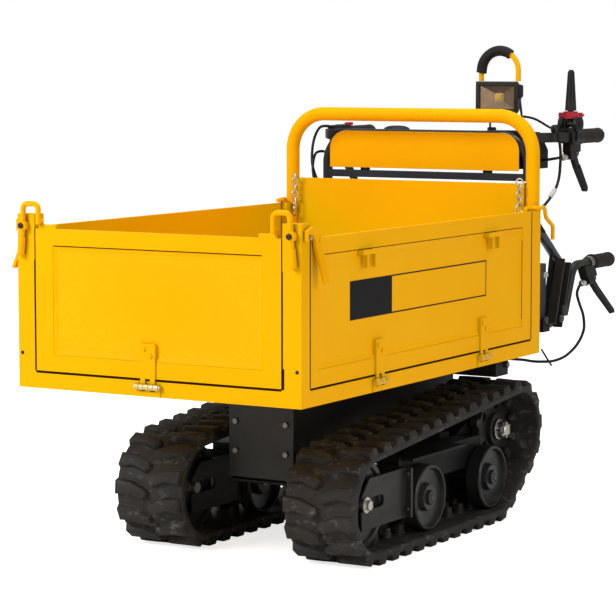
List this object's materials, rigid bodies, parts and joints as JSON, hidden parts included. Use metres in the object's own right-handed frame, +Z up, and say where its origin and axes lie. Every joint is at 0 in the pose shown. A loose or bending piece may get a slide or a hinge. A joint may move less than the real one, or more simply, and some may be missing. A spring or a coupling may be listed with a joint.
{
  "type": "tracked power carrier",
  "caption": "Walk-behind electric tracked carrier with a yellow drop-side tipping bed, black rubber tracks, rear console with handlebars and a work light.",
  "frame": {"origin": "Centre of the machine's footprint box, on the ground under the tracks", "axes": "+X to the operator's left (viewer's right in the picture), +Y to the rear where the operator walks, +Z up; the bed's front gate faces -Y"},
  "size_m": [0.784, 1.71, 1.157],
  "materials": {
    "yellow_paint": "semi-gloss signal yellow paint on sheet steel",
    "black_paint": "satin black paint on steel",
    "wheel_paint": "black painted cast wheels",
    "navy_paint": "blue-black powder coat on tube",
    "grey_paint": "dark grey powder coat on sheet",
    "track_rubber": "brown-black moulded track rubber",
    "grip_rubber": "matt black soft rubber",
    "zinc_steel": "zinc plated steel",
    "black_plastic": "matt black moulded plastic",
    "red_plastic": "dark red moulded plastic",
    "lamp_glass": "clear lamp glass"
  },
  "bodies": {
    "chassis": {"chassis_frame": "black_paint", "front_plate": "black_paint", "pivot_pin": "zinc_steel", "batteries": "black_plastic", "drive_motors": "grey_paint", "gearboxes": "black_paint", "track_frames": "black_paint", "tension_forks": "black_paint", "left_track": "track_rubber", "right_track": "track_rubber", "wheel_axles": "zinc_steel", "console_hoop": "navy_paint", "console_cover": "yellow_paint", "control_box": "black_plastic", "controller_box": "grey_paint", "handlebars": "black_paint", "fixed_grips": "grip_rubber", "lever_perches": "black_paint", "switch_housings": "black_plastic", "tip_handle": "black_paint", "lamp_bracket": "black_paint", "cables": "grip_rubber", "bolts": "zinc_steel"},
    "bed": {"bed_frame": "yellow_paint", "rear_wall": "yellow_paint", "bed_hoop": "yellow_paint", "hinge_pins": "zinc_steel", "bed_bolts": "zinc_steel"},
    "front_gate_body": {"front_gate": "yellow_paint"},
    "left_gate_body": {"left_gate": "yellow_paint"},
    "right_gate_body": {"right_gate": "yellow_paint"},
    "front_left_latch_body": {"front_left_latch": "yellow_paint"},
    "front_right_latch_body": {"front_right_latch": "yellow_paint"},
    "left_front_latch_body": {"left_front_latch": "yellow_paint"},
    "right_front_latch_body": {"right_front_latch": "yellow_paint"},
    "left_rear_latch_body": {"left_rear_latch": "yellow_paint"},
    "right_rear_latch_body": {"right_rear_latch": "yellow_paint"},
    "left_chain_body": {"left_chain": "zinc_steel"},
    "right_chain_body": {"right_chain": "zinc_steel"},
    "left_sprocket_body": {"left_sprocket": "wheel_paint"},
    "right_sprocket_body": {"right_sprocket": "wheel_paint"},
    "left_idler_body": {"left_idler": "wheel_paint"},
    "right_idler_body": {"right_idler": "wheel_paint"},
    "left_front_roller_body": {"left_front_roller": "wheel_paint"},
    "left_rear_roller_body": {"left_rear_roller": "wheel_paint"},
    "right_front_roller_body": {"right_front_roller": "wheel_paint"},
    "right_rear_roller_body": {"right_rear_roller": "wheel_paint"},
    "left_lever_body": {"left_lever": "black_paint"},
    "right_lever_body": {"right_lever": "black_paint"},
    "tip_lever_body": {"tip_lever": "black_paint"},
    "drive_lever_body": {"drive_lever": "black_plastic"},
    "lock_collar_body": {"lock_collar": "red_plastic"},
    "throttle_body": {"throttle_grip": "grip_rubber"},
    "key_body": {"key_switch": "zinc_steel"},
    "stop_body": {"stop_button": "red_plastic"},
    "lamp": {"lamp_head": "black_plastic", "lamp_lens": "lamp_glass", "lamp_handle": "yellow_paint", "lamp_grip": "grip_rubber"},
    "catch_body": {"bed_catch": "black_paint"}
  },
  "joints": [
    {"name": "bed_tip", "type": "hinge", "parent": "chassis", "child": "bed", "pos_m": [0, -0.386, 0.383], "axis": [1, 0, 0], "range_deg": [0, 50]},
    {"name": "front_gate_drop", "type": "hinge", "parent": "bed", "child": "front_gate_body", "pos_m": [-0.018, -0.848, 0.43], "axis": [1, 0, 0], "range_deg": [0, 170]},
    {"name": "left_gate_drop", "type": "hinge", "parent": "bed", "child": "left_gate_body", "pos_m": [0.367, -0.256, 0.43], "axis": [0, 1, 0], "range_deg": [0, 170]},
    {"name": "right_gate_drop", "type": "hinge", "parent": "bed", "child": "right_gate_body", "pos_m": [-0.367, -0.256, 0.43], "axis": [0, -1, 0], "range_deg": [0, 170]},
    {"name": "front_left_latch_turn", "type": "hinge", "parent": "bed", "child": "front_left_latch_body", "pos_m": [0.34, -0.841, 0.764], "axis": [0, 1, 0], "range_deg": [0, 60]},
    {"name": "front_right_latch_turn", "type": "hinge", "parent": "bed", "child": "front_right_latch_body", "pos_m": [-0.34, -0.841, 0.764], "axis": [0, -1, 0], "range_deg": [0, 60]},
    {"name": "left_front_latch_turn", "type": "hinge", "parent": "left_gate_body", "child": "left_front_latch_body", "pos_m": [0.365, -0.784, 0.752], "axis": [-1, 0, 0], "range_deg": [0, 60]},
    {"name": "right_front_latch_turn", "type": "hinge", "parent": "right_gate_body", "child": "right_front_latch_body", "pos_m": [-0.365, -0.784, 0.752], "axis": [-1, 0, 0], "range_deg": [0, 60]},
    {"name": "left_rear_latch_turn", "type": "hinge", "parent": "bed", "child": "left_rear_latch_body", "pos_m": [0.35, 0.269, 0.748], "axis": [0, 0, -1], "range_deg": [0, 75]},
    {"name": "right_rear_latch_turn", "type": "hinge", "parent": "bed", "child": "right_rear_latch_body", "pos_m": [-0.35, 0.269, 0.748], "axis": [0, 0, 1], "range_deg": [0, 75]},
    {"name": "left_chain_swing", "type": "hinge", "parent": "bed", "child": "left_chain_body", "pos_m": [0.31784, 0.27663, 0.826], "axis": [-0.788, 0.6157, 0], "range_deg": [0, 60]},
    {"name": "right_chain_swing", "type": "hinge", "parent": "bed", "child": "right_chain_body", "pos_m": [-0.31784, 0.27663, 0.826], "axis": [-0.788, -0.6157, 0], "range_deg": [0, 60]},
    {"name": "left_sprocket_roll", "type": "hinge", "parent": "chassis", "child": "left_sprocket_body", "pos_m": [0.225, 0.31, 0.21], "axis": [1, 0, 0], "continuous": true},
    {"name": "left_idler_roll", "type": "hinge", "parent": "chassis", "child": "left_idler_body", "pos_m": [0.225, -0.416, 0.135], "axis": [1, 0, 0], "continuous": true},
    {"name": "left_front_roller_roll", "type": "hinge", "parent": "chassis", "child": "left_front_roller_body", "pos_m": [0.225, -0.129, 0.1095], "axis": [1, 0, 0], "continuous": true},
    {"name": "left_rear_roller_roll", "type": "hinge", "parent": "chassis", "child": "left_rear_roller_body", "pos_m": [0.225, 0.199, 0.1095], "axis": [1, 0, 0], "continuous": true},
    {"name": "right_sprocket_roll", "type": "hinge", "parent": "chassis", "child": "right_sprocket_body", "pos_m": [-0.225, 0.31, 0.21], "axis": [1, 0, 0], "continuous": true},
    {"name": "right_idler_roll", "type": "hinge", "parent": "chassis", "child": "right_idler_body", "pos_m": [-0.225, -0.416, 0.135], "axis": [1, 0, 0], "continuous": true},
    {"name": "right_front_roller_roll", "type": "hinge", "parent": "chassis", "child": "right_front_roller_body", "pos_m": [-0.225, -0.129, 0.1095], "axis": [1, 0, 0], "continuous": true},
    {"name": "right_rear_roller_roll", "type": "hinge", "parent": "chassis", "child": "right_rear_roller_body", "pos_m": [-0.225, 0.199, 0.1095], "axis": [1, 0, 0], "continuous": true},
    {"name": "left_lever_squeeze", "type": "hinge", "parent": "chassis", "child": "left_lever_body", "pos_m": [0.335, 0.549, 0.888], "axis": [1, 0, 0], "range_deg": [0, 25], "stiffness_Nm_per_rad": 2, "springref_deg": -11.46},
    {"name": "right_lever_squeeze", "type": "hinge", "parent": "chassis", "child": "right_lever_body", "pos_m": [-0.335, 0.549, 0.888], "axis": [1, 0, 0], "range_deg": [0, 25], "stiffness_Nm_per_rad": 2, "springref_deg": -11.46},
    {"name": "tip_lever_squeeze", "type": "hinge", "parent": "chassis", "child": "tip_lever_body", "pos_m": [0.32428, 0.691, 0.55983], "axis": [0.9563, 0, 0.2924], "range_deg": [0, 25], "stiffness_Nm_per_rad": 2, "springref_deg": -11.46},
    {"name": "drive_lever_swing", "type": "hinge", "parent": "chassis", "child": "drive_lever_body", "pos_m": [0.335, 0.535, 0.962], "axis": [1, 0, 0], "range_deg": [-20, 20]},
    {"name": "lock_collar_twist", "type": "hinge", "parent": "drive_lever_body", "child": "lock_collar_body", "pos_m": [0.335, 0.535, 0.985], "axis": [0, 0, 1], "range_deg": [0, 45]},
    {"name": "throttle_twist", "type": "hinge", "parent": "chassis", "child": "throttle_body", "pos_m": [-0.335, 0.639, 0.93], "axis": [0, 1, 0], "range_deg": [0, 70], "stiffness_Nm_per_rad": 0.5, "springref_deg": -17.19},
    {"name": "key_turn", "type": "hinge", "parent": "chassis", "child": "key_body", "pos_m": [0.06, 0.476, 0.921], "axis": [0, 0.6771, 0.7359], "range_deg": [0, 90]},
    {"name": "stop_press", "type": "slide", "parent": "chassis", "child": "stop_body", "axis": [0, -0.6771, -0.7359], "range_m": [0, 0.006], "stiffness_N_per_m": 800, "springref_m": -0.002},
    {"name": "lamp_tilt", "type": "hinge", "parent": "chassis", "child": "lamp", "pos_m": [0.197, 0.431, 1.03], "axis": [1, 0, 0], "range_deg": [-30, 30]},
    {"name": "catch_turn", "type": "hinge", "parent": "chassis", "child": "catch_body", "pos_m": [0.2, 0.343, 0.396], "axis": [-1, 0, 0], "range_deg": [0, 30]}
  ],
  "couplings": [
    {"joint": "catch_turn", "follows": "tip_lever_squeeze", "ratio": 1.2},
    {"joint": "left_idler_roll", "follows": "left_sprocket_roll", "ratio": 0.92233},
    {"joint": "left_front_roller_roll", "follows": "left_sprocket_roll", "ratio": 1.2258},
    {"joint": "left_rear_roller_roll", "follows": "left_sprocket_roll", "ratio": 1.2258},
    {"joint": "right_idler_roll", "follows": "right_sprocket_roll", "ratio": 0.92233},
    {"joint": "right_front_roller_roll", "follows": "right_sprocket_roll", "ratio": 1.2258},
    {"joint": "right_rear_roller_roll", "follows": "right_sprocket_roll", "ratio": 1.2258}
  ]
}
